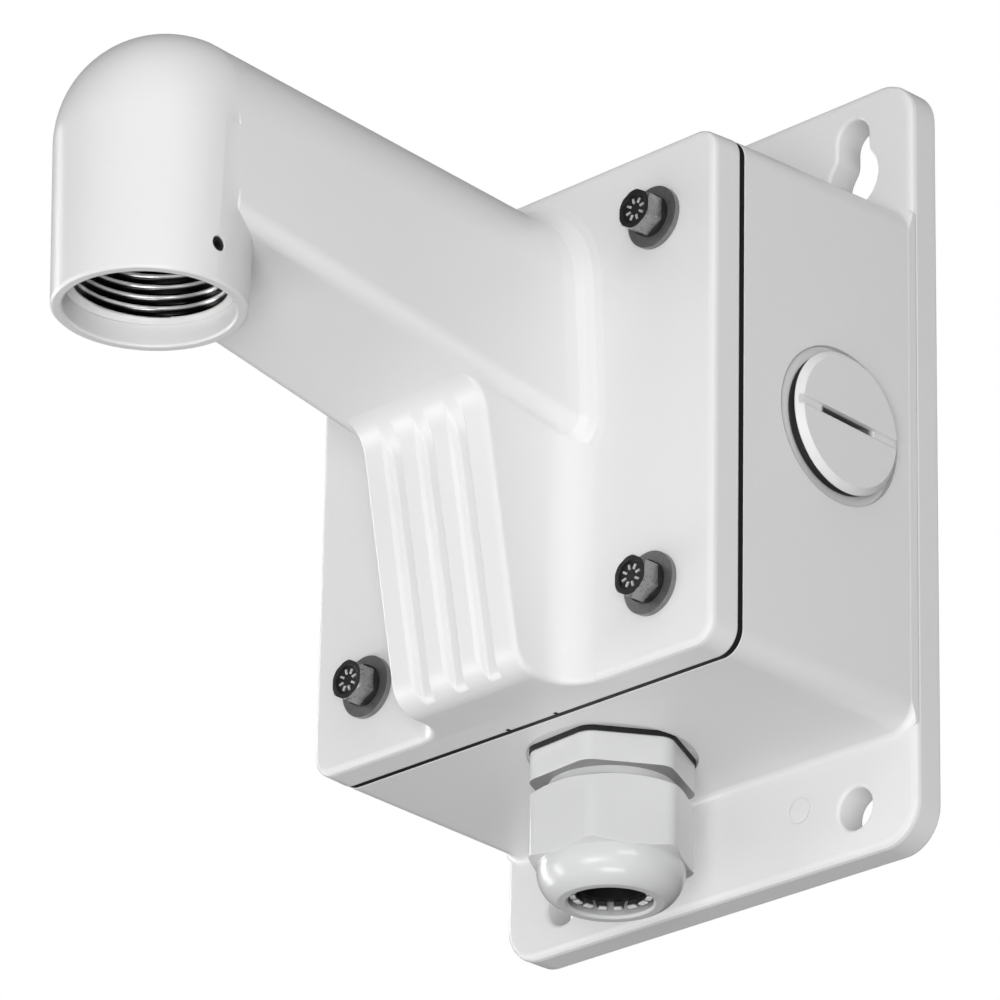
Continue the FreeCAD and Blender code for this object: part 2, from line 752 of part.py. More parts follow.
def cover_arm():
    # One casting: cover plate, hollow arm, nose, spout and the ribbed block below the arm.
    outside = [cover_plate(), arm_body(0.0, cover_front_y + flare_sink), nose_bend_body(nose_radius)]
    outside += [spout_outside()] + root_flare(arm_section, arm_flare, cover_front_y) + [block_under_arm()]
    body = fused(outside)
    cuts = grooves() + arm_hollow() + [block_hollow(), cover_hollow()]
    for x, z in screw_places:
        cuts.append(cylinder(screw_radius + hole_clearance, cover_thickness,
                             vec(x, gasket_front_y, z), -Y_AXIS))
    bottom = box_centre_z - box_mouth_half
    cuts.append(Part.makeBox(pry_notch_width, pry_notch_reach, pry_notch_depth,
                             vec(-pry_notch_width / 2.0, gasket_front_y - pry_notch_reach, bottom)))
    cuts.append(cylinder(grub_radius + thread_clearance, nose_radius + spout_rim_radius,
                         vec(0, spout_y, grub_hole_z), X_AXIS))
    return cut_all(body, cuts)


def spread(shape):
    # The same small part at each of the four cover screws.
    return Part.makeCompound([shape.translated(vec(x, 0, z)) for x, z in screw_places])


def cover_screw():
    seat = cover_front_y - flat_washer_thickness - spring_washer_thickness
    head = hexagon_prism(screw_head_flats, screw_head_height, vec(0, seat, 0), -Y_AXIS, screw_head_turn)
    corner = screw_head_flats / math.sqrt(3.0)
    rounding = Part.makeCone(corner + screw_head_height - screw_head_bevel, corner - screw_head_bevel,
                             screw_head_height, vec(0, seat, 0), -Y_AXIS)
    head = head.common(rounding)
    dish_y = seat - screw_head_height
    head = head.cut(cylinder(screw_dish_radius, screw_dish_depth, vec(0, dish_y, 0), Y_AXIS))
    shank = cylinder(screw_radius, screw_length, vec(0, seat, 0), Y_AXIS)
    return head.fuse(shank).removeSplitter()


def spring_washer():
    seat = cover_front_y - flat_washer_thickness
    ring = tube(spring_washer_radius, screw_radius + hole_clearance, spring_washer_thickness,
                vec(0, seat, 0), -Y_AXIS)
    gap = Part.makeBox(spring_washer_gap, spring_washer_thickness, spring_washer_radius,
                       vec(-spring_washer_gap / 2.0, seat - spring_washer_thickness, 0))
    return ring.cut(gap)


def flat_washer():
    return tube(flat_washer_radius, screw_radius + hole_clearance, flat_washer_thickness,
                vec(0, cover_front_y, 0), -Y_AXIS)


def spout_grub_screw():
    outer_x = spout_rim_radius + (grub_hole_z - spout_rim_z) * (nose_radius - spout_rim_radius) / (
        nose_bend_z - spout_rim_z)
    face = vec(outer_x - grub_inset, spout_y, grub_hole_z)
    body = cylinder(grub_radius, grub_length, face, -X_AXIS)
    return body.cut(hexagon_prism(grub_socket, grub_socket_depth, face, -X_AXIS))


def side_plug():
    spot_face = vec(spot_face_x(), plug_y, plug_z)
    seat = spot_face + X_AXIS * plug_seal_thickness
    head = bevelled_disc(plug_head_radius, plug_head_height, plug_head_bevel, seat, X_AXIS)
    neck = cylinder(plug_neck_radius, plug_seal_thickness, spot_face, X_AXIS)
    inner_end = spot_face - X_AXIS * plug_thread_length
    thread = cylinder(plug_thread_radius, plug_thread_length, inner_end, X_AXIS)
    face_x = seat.x + plug_head_height
    slot_z = plug_z - plug_slot_width / 2.0
    slot = Part.makeBox(plug_slot_depth, 2.0 * plug_head_radius, plug_slot_width,
                        vec(face_x - plug_slot_depth, plug_y - plug_head_radius, slot_z))
    cutter_x = face_x - plug_slot_cutter_depth + plug_slot_cutter_radius
    cutter = cylinder(plug_slot_cutter_radius, plug_slot_width, vec(cutter_x, plug_y, slot_z), Z_AXIS)
    for tool in (slot, cutter):
        tool.rotate(spot_face, X_AXIS, plug_slot_turn)
    core_length = face_x - plug_slot_cutter_depth - plug_web - inner_end.x
    core = cylinder(plug_core_radius, core_length, inner_end, X_AXIS)
    return cut_all(fused([head, neck, thread]), [slot, cutter, core])


def side_plug_seal():
    # Squeezed rubber ring with a rounded outer side, held between the plug's head and the spot-face.
    spot_face = vec(spot_face_x(), plug_y, plug_z)
    inner = plug_thread_radius + seat_clearance
    shoulder = plug_seal_radius - plug_seal_bulge

    def place(along, radius):
        return spot_face + X_AXIS * along + Z_AXIS * radius

    wide = plug_seal_thickness
    outline = [line(place(0, inner), place(0, shoulder)),
               arc(place(0, shoulder), place(wide / 2.0, plug_seal_radius), place(wide, shoulder)),
               line(place(wide, shoulder), place(wide, inner)),
               line(place(wide, inner), place(0, inner))]
    return Part.Face(Part.Wire(outline)).revolve(spot_face, X_AXIS, 360.0)


def lock_nut_seat_z():
    floor = max(box_bottom_z(gland_y - lock_nut_pad_radius), box_bottom_z(gland_y + lock_nut_pad_radius))
    return floor + box_wall + overlap


def gland_top_z():
    lowest = max(box_bottom_z(gland_y - gland_seat_radius), box_bottom_z(gland_y + gland_seat_radius))
    return lowest + overlap


def gland_seal_washer():
    top = vec(0, gland_y, gland_top_z())
    flats = gland_hex_flats + 2.0 * gland_seal_washer_rim
    thickness = gland_seal_washer_thickness
    washer = hexagon_prism(flats, thickness, top, -Z_AXIS, -gland_hex_turn, gland_hex_rounding)
    return washer.cut(cylinder(gland_thread_radius + seat_clearance, thickness, top, -Z_AXIS))


def hex_top_z():
    return gland_top_z() - gland_seal_washer_thickness


def cap_top_z():
    return hex_top_z() - gland_hex_height - gland_nut_gap


def gland_body():
    top = vec(0, gland_y, hex_top_z())
    flange = hexagon_prism(gland_hex_flats, gland_hex_height, top, -Z_AXIS, -gland_hex_turn,
                           gland_hex_rounding)
    flange_foot = top - Z_AXIS * gland_hex_height
    above = gland_shank_length + gland_hex_height
    shank = cylinder(gland_thread_radius, above, flange_foot, Z_AXIS)
    collar = cylinder(collar_radius(), gland_collar_length, flange_foot, -Z_AXIS)
    bore = cylinder(gland_bore_radius, above + gland_collar_length,
                    flange_foot - Z_AXIS * gland_collar_length, Z_AXIS)
    return cut_all(fused([flange, shank, collar]), [bore])


def collar_radius():
    return cap_flats / 2.0 - cap_wall - thread_clearance


def cap_nut():
    # Hexagon with rounded corners, bevelled to a circle at the top and turned to a dome below.
    top_z = cap_top_z()
    straight_z = top_z - cap_straight
    bottom_z = top_z - cap_height
    top = vec(0, gland_y, top_z)

    def place(radius, z):
        return vec(radius, gland_y, z)

    corner = cap_flats / math.sqrt(3.0)
    dome_start = place(cap_round_radius, straight_z - cap_shoulder)
    dome_end = place(cap_dome_radius, bottom_z)
    across = (dome_end - dome_start).normalize()
    bulge = (dome_start + dome_end) * 0.5 + vec(-across.z, 0, across.x) * cap_dome_bulge
    corners = [dome_end, place(0, bottom_z), top, place(cap_round_radius, top_z),
               place(corner, top_z - cap_top_bevel), place(corner, straight_z), dome_start]
    outline = [line(a, b) for a, b in zip(corners, corners[1:])] + [arc(dome_start, bulge, dome_end)]
    turned = Part.Face(Part.Wire(outline)).revolve(top, Z_AXIS, 360.0)
    blank = hexagon_prism(cap_flats, cap_height, top, -Z_AXIS, rounding=cap_rounding)
    room_radius = cap_flats / 2.0 - cap_wall
    room = cylinder(room_radius, cap_straight, top, -Z_AXIS)
    throat = Part.makeCone(room_radius, cap_mouth_radius, cap_height - cap_straight - cap_lip,
                           place(0, straight_z), -Z_AXIS)
    lip = Part.makeCone(cap_mouth_radius, cap_mouth_radius + cap_lip, cap_lip,
                        place(0, bottom_z + cap_lip), -Z_AXIS)
    return cut_all(blank.common(turned), [room, throat, lip])


def claw_ring():
    # Clamping basket: a ring on the collar's end with fingers that lean in to the mouth.
    ring_z = claw_ring_top_z()
    outer = collar_radius() - seat_clearance
    tip_z = claw_tip_z()
    points = [vec(outer - claw_thickness, gland_y, ring_z),
              vec(outer, gland_y, ring_z),
              vec(outer, gland_y, ring_z - claw_ring_height),
              vec(claw_tip_outer, gland_y, tip_z),
              vec(claw_tip_inner, gland_y, tip_z),
              vec(outer - claw_thickness, gland_y, ring_z - claw_ring_height)]
    basket = revolve_outline(points, vec(0, gland_y, 0), Z_AXIS)
    slot_height = ring_z - claw_ring_height - tip_z + overlap
    slots = []
    for index in range(claw_count):
        slot = Part.makeBox(collar_radius(), claw_gap, slot_height, vec(0, -claw_gap / 2.0, tip_z - overlap))
        slot.rotate(vec(0, 0, 0), Z_AXIS, 360.0 * index / claw_count)
        slots.append(slot.translated(vec(0, gland_y, 0)))
    return basket.cut(fused(slots))


def claw_ring_top_z():
    return hex_top_z() - gland_hex_height - gland_collar_length


def claw_tip_z():
    return cap_top_z() - cap_height + claw_tip_inset


def gland_seal():
    # Soft sleeve that fills the basket and ends a little above the fingers' tips.
    ring_z = claw_ring_top_z()
    cone_z = ring_z - claw_ring_height
    bottom_z = claw_tip_z() + seal_lip
    wide = collar_radius() - claw_thickness - 2.0 * seat_clearance
    narrow = claw_tip_inner - seat_clearance
    bottom = narrow + (wide - narrow) * seal_lip / (cone_z - claw_tip_z())
    points = [vec(seal_bore_radius, gland_y, bottom_z), vec(bottom, gland_y, bottom_z),
              vec(wide, gland_y, cone_z), vec(wide, gland_y, ring_z), vec(seal_bore_radius, gland_y, ring_z)]
    return revolve_outline(points, vec(0, gland_y, 0), Z_AXIS)


def lock_nut():
    base = vec(0, gland_y, lock_nut_seat_z())
    nut = hexagon_prism(lock_nut_flats, lock_nut_height, base, Z_AXIS)
    return nut.cut(cylinder(gland_thread_radius + thread_clearance, lock_nut_height, base, Z_AXIS))


NODES = {
    "wall_box": wall_box,
    "cover_gasket": gasket,
    "cover_arm": cover_arm,
    "cover_screws": lambda: spread(cover_screw()),
    "cover_spring_washers": lambda: spread(spring_washer()),
    "cover_flat_washers": lambda: spread(flat_washer()),
    "spout_grub_screw": spout_grub_screw,
    "side_plug": side_plug,
    "side_plug_seal": side_plug_seal,
    "gland_body": gland_body,
    "gland_seal_washer": gland_seal_washer,
    "gland_lock_nut": lock_nut,
    "gland_claw_ring": claw_ring,
    "gland_cable_seal": gland_seal,
    "gland_cap_nut": cap_nut,
}

for name, make in NODES.items():
    shape = make()
    shape.exportStep("parts/" + name + ".step")
    print(name, "solids", len(shape.Solids), "valid", shape.isValid(), "volume", round(shape.Volume, 1))
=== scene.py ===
import bpy, bmesh, math
from mathutils import Matrix, Vector


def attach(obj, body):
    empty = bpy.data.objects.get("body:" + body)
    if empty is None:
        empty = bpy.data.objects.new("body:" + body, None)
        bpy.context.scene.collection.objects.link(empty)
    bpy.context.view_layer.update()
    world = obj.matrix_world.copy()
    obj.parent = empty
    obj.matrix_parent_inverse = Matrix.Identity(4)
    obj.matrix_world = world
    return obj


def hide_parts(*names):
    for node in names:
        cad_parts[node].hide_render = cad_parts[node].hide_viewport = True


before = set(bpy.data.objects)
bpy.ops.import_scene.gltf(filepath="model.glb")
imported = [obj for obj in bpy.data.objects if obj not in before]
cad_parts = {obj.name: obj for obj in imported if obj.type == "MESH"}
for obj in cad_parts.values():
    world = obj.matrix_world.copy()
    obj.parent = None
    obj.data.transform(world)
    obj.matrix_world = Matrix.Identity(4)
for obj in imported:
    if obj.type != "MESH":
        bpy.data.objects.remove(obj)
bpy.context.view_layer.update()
scene = bpy.context.scene
mm = 0.001
edgeSamples = 8  # rays for the rounded edges of the finishes
weldReach = 0.0001 * mm
plainCrease = 30  # degrees between two faces that meet in a sharp edge
cornerReach = 0.02 * mm  # how near a corner lies to the plane or line that it is found by
facing = 0.9  # how far a face's normal follows an axis when it counts as facing it
print("frame loaded")


# a shader socket that takes part in ordinary sums
class Value:
    def __init__(self, board, socket):
        self.board = board
        self.socket = socket

    def sum(self, operation, first, second):
        return self.board.add("ShaderNodeMath", {"operation": operation}, {0: first, 1: second})

    def __radd__(self, other):
        return self.sum("ADD", other, self)

    def __sub__(self, other):
        return self.sum("SUBTRACT", self, other)

    def __rsub__(self, other):
        return self.sum("SUBTRACT", other, self)

    def __mul__(self, other):
        return self.sum("MULTIPLY", self, other)


# the node board of one material
class Board:
    def __init__(self, name):
        self.material = bpy.data.materials.new(name)
        self.material.use_nodes = True
        self.nodes = self.material.node_tree.nodes
        self.links = self.material.node_tree.links
        self.shader = self.nodes["Principled BSDF"]

    def add(self, kind, settings=None, sockets=None, out=0):
        node = self.nodes.new(kind)
        for key, value in (settings or {}).items():
            setattr(node, key, value)
        for key, value in (sockets or {}).items():
            self.feed(node, key, value)
        return Value(self, node.outputs[out])

    def feed(self, node, key, value):
        if isinstance(value, Value):
            self.links.new(value.socket, node.inputs[key])
        else:
            node.inputs[key].default_value = value

    def place(self):
        return self.add("ShaderNodeTexCoord", out="Object")

    def stretched(self, where, scale):
        return self.add("ShaderNodeMapping", None, {"Vector": where, "Scale": scale})

    def noise(self, where, scale, detail):
        return self.add("ShaderNodeTexNoise", None, {"Vector": where, "Scale": scale, "Detail": detail})

    def blend(self, share, first, second):
        return self.add("ShaderNodeMix", {"data_type": "RGBA"}, {0: share, 6: first, 7: second}, out=2)

    def part(self, vector, axis):
        return self.add("ShaderNodeSeparateXYZ", None, {0: vector}, out=axis)

    def between(self, value, low, high):
        return self.add("ShaderNodeMapRange", None, {0: value, 1: low, 2: high})

    def distance(self, first, second):
        return self.add("ShaderNodeVectorMath", {"operation": "DISTANCE"}, {0: first, 1: second}, out=1)

    def ring(self, where, centre, radius, width):  # 1 on a circle's line, falling to 0 on both sides
        reach = self.distance(where, centre)
        off = self.add("ShaderNodeMath", {"operation": "ABSOLUTE"}, {0: reach - radius})
        return 1 - self.between(off, 0, width)

    def relief(self, height, strength, depth, edge=None):  # bumps, and edges rounded by the radius given
        sockets = {"Height": height, "Strength": strength, "Distance": depth}
        if edge:
            sockets["Normal"] = self.add("ShaderNodeBevel", {"samples": edgeSamples}, {"Radius": edge})
        return self.add("ShaderNodeBump", None, sockets)

    def finish(self, **sockets):
        for key, value in sockets.items():
            self.feed(self.shader, key.replace("_", " "), value)
        return self.material


def grey(level, warmth=0.0):
    return (level * (1 + warmth), level, level * (1 - warmth), 1)


paint = {"light": 0.80, "dark": 0.77, "patch": 26, "patchDetail": 3, "grain": 1500, "grainDetail": 1,
         "grainDepth": 0.05 * mm, "bump": 0.4, "gloss": 0.34, "glossSpread": 0.12, "coat": 0.25,
         "coatGloss": 0.25, "edge": 0.35 * mm, "pinMark": (25.9 * mm, -7.2 * mm, -71 * mm),
         "pinRadius": 2.75 * mm, "pinLine": 0.3 * mm, "pinDepth": 9}
# painted shade in the plug's slot: where the dark grey lies and how dark it is
slotWellShade = {"centre": (58 * mm, -28.95 * mm, -2.7 * mm), "reach": 8 * mm, "edge": 1 * mm, "top": 59.1 * mm,
            "floor": 58.5 * mm, "level": 0.1}


def powderCoat(name, withWellShade=False):
    board = Board(name)
    where = board.place()
    patches = board.noise(where, paint["patch"], paint["patchDetail"])
    grain = board.noise(where, paint["grain"], paint["grainDetail"])
    pinMark = board.ring(where, paint["pinMark"], paint["pinRadius"], paint["pinLine"])
    colour = board.blend(patches, grey(paint["dark"]), grey(paint["light"]))
    if withWellShade:  # painted shade: the sunken middle of the plug's slot is coloured dark grey, as it lies in the dark
        reach = board.distance(where, slotWellShade["centre"])
        paintedShadeMask = 1 - board.between(reach, slotWellShade["reach"], slotWellShade["reach"] + slotWellShade["edge"])
        depth = board.between(board.part(where, 0), slotWellShade["top"], slotWellShade["floor"])
        colour = board.blend(paintedShadeMask * depth, colour, grey(slotWellShade["level"]))
    gloss = paint["gloss"] + grain * paint["glossSpread"]
    height = grain - pinMark * paint["pinDepth"]
    relief = board.relief(height, paint["bump"], paint["grainDepth"], paint["edge"])
    return board.finish(Base_Color=colour, Roughness=gloss, Normal=relief, Coat_Weight=paint["coat"],
                        Coat_Roughness=paint["coatGloss"])


# tip, tipLength and the throat's level paint shade inside the cap nut's mouth, below the fingers' tips
nylon = {"dark": 0.94, "warmth": -0.004, "patch": 60, "patchDetail": 3, "gloss": 0.16, "glossSpread": 0.12,
         "streak": 1400, "streakDetail": 1, "streakStretch": (1, 1, 0.02), "streakDepth": 0.06 * mm,
         "bump": 0.4, "edge": 0.5 * mm, "ior": 1.53, "tip": -90.4 * mm, "tipLength": 0.4 * mm,
         "throat": 0.06}


def mouldedNylon(name, level, throat=False):
    board = Board(name)
    where = board.place()
    patches = board.noise(where, nylon["patch"], nylon["patchDetail"])
    drawn = board.stretched(where, nylon["streakStretch"])
    streaks = board.noise(drawn, nylon["streak"], nylon["streakDetail"])
    darkTone = grey(level * nylon["dark"], nylon["warmth"])
    colour = board.blend(patches, darkTone, grey(level, nylon["warmth"]))
    if throat:  # painted shade: below the fingers' tips the colour goes nearly black, so only the tips look lit
        paintedShadeMask = board.between(board.part(where, 2), nylon["tip"], nylon["tip"] + nylon["tipLength"])
        colour = board.blend(paintedShadeMask, colour, grey(nylon["throat"]))
    gloss = nylon["gloss"] + patches * nylon["glossSpread"]
    relief = board.relief(streaks, nylon["bump"], nylon["streakDepth"], nylon["edge"])
    return board.finish(Base_Color=colour, Roughness=gloss, Normal=relief, IOR=nylon["ior"])


rubber = {"light": 0.014, "dark": 0.006, "patch": 300, "patchDetail": 3, "gloss": 0.5, "glossSpread": 0.2,
          "bump": 0.5, "depth": 0.03 * mm}


def sealRubber():
    board = Board("sealRubber")
    patches = board.noise(board.place(), rubber["patch"], rubber["patchDetail"])
    colour = board.blend(patches, grey(rubber["dark"]), grey(rubber["light"]))
    gloss = rubber["gloss"] + patches * rubber["glossSpread"]
    relief = board.relief(patches, rubber["bump"], rubber["depth"])
    return board.finish(Base_Color=colour, Roughness=gloss, Normal=relief)


metal = {"grain": 900, "grainDetail": 4, "grainDepth": 0.01 * mm, "bump": 0.5, "glossSpread": 0.18,
         "edge": 0.15 * mm, "share": 0.7}


def steelFinish(name, light, dark, gloss):
    board = Board(name)
    streaks = board.noise(board.place(), metal["grain"], metal["grainDetail"])
    colour = board.blend(streaks, grey(dark), grey(light))
    relief = board.relief(streaks, metal["bump"], metal["grainDepth"], metal["edge"])
    return board.finish(Base_Color=colour, Metallic=metal["share"], Normal=relief,
                        Roughness=gloss + streaks * metal["glossSpread"])


# painted highlight and shade on the thread: crests light and less metallic, roots nearly black; random
# patches dim the crests' highlight
turned = {"light": 0.95, "dimmedHighlight": 0.35, "dark": 0.02, "patch": 90, "patchDetail": 3, "highlightPatchFrom": 0.4,
          "highlightPatchTo": 0.6, "gloss": 0.12, "glossSpread": 0.16, "marksPerMetre": 4000, "markDepth": 0.02 * mm,
          "bump": 0.3, "centre": (0, -164.4 * mm, 0), "crest": 15.3 * mm, "root": 15.75 * mm,
          "crestMetal": 0.35}


def turnedAluminium():
    board = Board("turnedAluminium")
    where = board.place()
    turns = board.part(where, 2) * (turned["marksPerMetre"] * 2 * math.pi)
    marks = board.add("ShaderNodeMath", {"operation": "SINE"}, {0: turns})
    patches = board.noise(where, turned["patch"], turned["patchDetail"])
    flat = board.add("ShaderNodeVectorMath", {"operation": "MULTIPLY"}, {0: where, 1: (1, 1, 0)})
    # painted shade in the thread's roots and painted highlight on its crests, chosen by the distance from
    # the bore's axis
    rootShadeMask = board.between(board.distance(flat, turned["centre"]), turned["crest"], turned["root"])
    highlightPatches = board.between(patches, turned["highlightPatchFrom"], turned["highlightPatchTo"])
    crest = board.blend(highlightPatches, grey(turned["dimmedHighlight"]), grey(turned["light"]))
    colour = board.blend(rootShadeMask, crest, grey(turned["dark"]))
    metallic = turned["crestMetal"] + rootShadeMask * (1 - turned["crestMetal"])
    gloss = turned["gloss"] + patches * turned["glossSpread"]
    relief = board.relief(marks, turned["bump"], turned["markDepth"])
    return board.finish(Base_Color=colour, Metallic=metallic, Roughness=gloss, Normal=relief)


materials = {
    "paint": powderCoat("powderCoat"),
    "plugPaintWellShade": powderCoat("plugPaintWellShade", withWellShade=True),
    "nylon": mouldedNylon("mouldedNylon", level=0.7),
    # painted shade: a dark copy of the nylon for the flange's underside
    "shadedNylon": mouldedNylon("shadedNylon", level=0.3),
    # painted light and shade: the claw ring is a lighter copy of the nylon, so the tips look lit, and is
    # painted dark below them
    "clawNylonLitAndShaded": mouldedNylon("clawNylonLitAndShaded", level=0.85, throat=True),
    "rubber": sealRubber(),
    "steel": steelFinish("brightSteel", light=0.45, dark=0.2, gloss=0.2),
    "washerSteel": steelFinish("washerSteel", light=0.3, dark=0.2, gloss=0.24),
    "darkSteel": steelFinish("darkSteel", light=0.07, dark=0.03, gloss=0.3),
    # painted highlight: the ticks get a far lighter copy of the screws' steel, as glints
    "tickGlintSteel": steelFinish("tickGlintSteel", light=0.9, dark=0.8, gloss=0.3),
    "thread": turnedAluminium(),
}
print("finishes made")


def newPiece(name, vertices, faces, finishes, crease=plainCrease):
    mesh = bpy.data.meshes.new(name)
    mesh.from_pydata([tuple(corner) for corner in vertices], [], faces)
    form = bmesh.new()
    form.from_mesh(mesh)
    bmesh.ops.remove_doubles(form, verts=form.verts, dist=weldReach)
    bmesh.ops.recalc_face_normals(form, faces=form.faces)
    form.to_mesh(mesh)
    form.free()
    mesh.shade_smooth()
    mesh.set_sharp_from_angle(angle=math.radians(crease))
    piece = bpy.data.objects.new(name, mesh)
    scene.collection.objects.link(piece)
    for finish in finishes:
        mesh.materials.append(materials[finish])
    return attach(piece, "root")


def copyOf(node, name, finishes, moved=None, chosen=None):
    # the node's own form and shading; the rules, if given, move its corners and choose its faces' finishes
    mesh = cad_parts[node].data.copy()
    piece = bpy.data.objects.new(name, mesh)
    scene.collection.objects.link(piece)
    mesh.materials.clear()
    for finish in finishes:
        mesh.materials.append(materials[finish])
    if moved:
        for corner in mesh.vertices:
            corner.co = moved(corner.co.copy())
    for face in mesh.polygons:
        face.material_index = chosen(face.center, face.normal) if chosen else 0
    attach(piece, "root")
    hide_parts(node)
    return piece


def along(start, end, share):
    return start + (end - start) * share


spout = {"centre": Vector((0, -164.4 * mm, 0)), "bottom": -1.3 * mm, "top": 17.7 * mm, "crest": 15.15 * mm,
         "root": 16.62 * mm, "outside": 16.72 * mm, "pitch": 2.309 * mm, "around": 144, "painted": 0.9 * mm,
         "bendHeight": 28.8 * mm, "armStart": -160.6 * mm, "armTilt": 0.0612, "armLow": 13.13 * mm,
         "armHigh": 32.1 * mm, "armSide": 19.69 * mm, "armTaper": 0.0264, "step": 0.6 * mm,
         "wallReach": 0.15 * mm, "endReach": 0.05 * mm, "crease": 50,
         "form": ((0.0, 0.0), (0.1, 0.05), (0.4, 0.95), (0.5, 1.0), (0.6, 0.95), (0.9, 0.05))}


def outOfThread(corner):  # moves the plain bore's wall out behind the thread
    away = Vector((corner.x, corner.y, 0)) - spout["centre"]
    inBore = abs(away.length - spout["crest"]) < spout["wallReach"]
    inLength = spout["bottom"] - spout["endReach"] < corner.z < spout["top"] + spout["endReach"]
    if not (inBore and inLength):
        return corner
    away = away.normalized() * spout["outside"]
    return Vector((away.x, spout["centre"].y + away.y, corner.z))


def spoutThread():
    # a helix of rows: each follows one line of the thread's form up the bore, and ends at its two rims
    perTurn = len(spout["form"])
    turns = math.ceil((spout["top"] - spout["bottom"]) / spout["pitch"]) + 1
    rows = []
    for row in range(-perTurn, perTurn * turns):
        place, depth = spout["form"][row % perTurn]
        ring = []
        for step in range(spout["around"] + 1):
            share = step / spout["around"]
            height = spout["bottom"] + (row // perTurn + place + share) * spout["pitch"]
            radius = along(spout["crest"], spout["root"], depth)
            if not spout["bottom"] < height < spout["top"]:
                height = min(max(height, spout["bottom"]), spout["top"])
                radius = spout["outside"]
            angle = 2 * math.pi * share
            away = Vector((radius * math.cos(angle), radius * math.sin(angle), height))
            ring.append(spout["centre"] + away)
        rows.append(ring)
    rows.append(rows[0])
    vertices = [corner for ring in rows for corner in ring]
    wide = spout["around"] + 1
    starts = [row * wide + step for row in range(len(rows) - 1) for step in range(spout["around"])]
    faces = [(start, start + 1, start + wide + 1, start + wide) for start in starts]
    piece = newPiece("spoutThread", vertices, faces, ["thread", "paint"], spout["crease"])
    painted = spout["bottom"] + spout["painted"]
    for face in piece.data.polygons:  # the paint runs over the first part of the thread
        face.material_index = 1 if face.center.z < painted else 0
    return piece


coverEdge = {"half": 6.7 * mm, "roof": -59.35 * mm, "back": -58 * mm, "backBottom": -60.14 * mm,
             "front": -62.6 * mm, "frontBottom": -59.94 * mm}


def castForm(corner):
    # opens the bore behind the thread, evens the cover's lower edge and widens the spout's side to the arm's
    corner = outOfThread(corner)
    besideNotch = abs(abs(corner.x) - coverEdge["half"]) < cornerReach
    if besideNotch and abs(corner.z - coverEdge["roof"]) < cornerReach:
        share = (corner.y - coverEdge["back"]) / (coverEdge["front"] - coverEdge["back"])
        return Vector((corner.x, corner.y, along(coverEdge["backBottom"], coverEdge["frontBottom"], share)))
    ahead = corner.y - spout["armStart"] + (corner.z - spout["bendHeight"]) * spout["armTilt"]
    side = spout["armSide"] + (corner.z - spout["armLow"]) * spout["armTaper"]
    onStart = abs(ahead) < cornerReach and spout["armLow"] < corner.z < spout["armHigh"]
    if onStart and side - spout["step"] < abs(corner.x) < side:
        return Vector((math.copysign(side, corner.x), corner.y, corner.z))
    return corner


gasketNibs = {"places": (-6.2 * mm, 7.15 * mm), "half": 0.4 * mm, "y": (-58.8 * mm, -57.9 * mm),
              "z": (-60.22 * mm, -60.0 * mm)}


def nibs():  # two small ends of the gasket's rubber on the cover's lower edge
    vertices, faces = [], []
    for place in gasketNibs["places"]:
        start = len(vertices)
        vertices += [Vector((place + side * gasketNibs["half"], y, z))
                     for side in (-1, 1) for y in gasketNibs["y"] for z in gasketNibs["z"]]
        faces += [tuple(start + k for k in face) for face in
                  ((0, 1, 3, 2), (4, 5, 7, 6), (0, 1, 5, 4), (2, 3, 7, 6), (0, 2, 6, 4), (1, 3, 7, 5))]
    return newPiece("gasketNibs", vertices, faces, ["rubber"])


copyOf("cover_arm", "coverCasting", ["paint"], moved=castForm)
spoutThread()
nibs()
print("cover and thread made")


screws = {"places": [(x * mm, z * mm) for x in (-40, 40) for z in (36.2, -43.8)], "dishFloor": -71.1 * mm,
          "dish": 3.1 * mm, "ticks": 8, "tickFrom": 1.3 * mm, "tickTo": 2.5 * mm, "tickWidth": 0.55 * mm,
          "tickHeight": 0.3 * mm, "tickInset": 0.1 * mm, "tickTurn": 14, "floorReach": 0.05 * mm,
          "rimReach": 0.1 * mm}


def dishShadeFinish(centre, normal):  # 1 on the dished top of a screw's head and the face around it, which get the dark steel as painted shade
    reach = min(math.hypot(centre.x - x, centre.z - z) for x, z in screws["places"])
    inDish = reach < screws["dish"] + cornerReach and centre.y < screws["dishFloor"] + screws["floorReach"]
    rim = abs(normal.y) > facing and centre.y < screws["dishFloor"] - screws["rimReach"]
    return 1 if inDish or rim else 0


def headTicks():
    vertices, faces = [], []
    half = screws["tickWidth"] / 2
    for x, z in screws["places"]:
        for tick in range(screws["ticks"]):
            angle = math.radians(screws["tickTurn"] + 360 * tick / screws["ticks"])
            outward = Vector((math.cos(angle), 0, math.sin(angle)))
            across = Vector((-math.sin(angle), 0, math.cos(angle)))
            start = len(vertices)
            for height, inset in ((0, 0), (screws["tickHeight"], screws["tickInset"])):
                for reach, side in (("tickFrom", -1), ("tickTo", -1), ("tickTo", 1), ("tickFrom", 1)):
                    shift = inset if reach == "tickFrom" else -inset
                    place = outward * (screws[reach] + shift) + across * side * (half - inset)
                    vertices.append(Vector((x, screws["dishFloor"] - height, z)) + place)
            faces += [tuple(start + k for k in face) for face in
                      ((0, 1, 2, 3), (4, 5, 6, 7), (0, 1, 5, 4), (1, 2, 6, 5), (2, 3, 7, 6), (3, 0, 4, 7))]
    # the ticks' lighter steel is a painted glint
    return newPiece("headTicks", vertices, faces, ["tickGlintSteel"])


# painted shade: the heads' dished fronts take the dark steel, the rest the bright steel
copyOf("cover_screws", "coverScrews", ["steel", "darkSteel"], chosen=dishShadeFinish)
headTicks()
print("cover screws made")


flange = {"bottom": -67.6 * mm, "reach": 0.2 * mm}


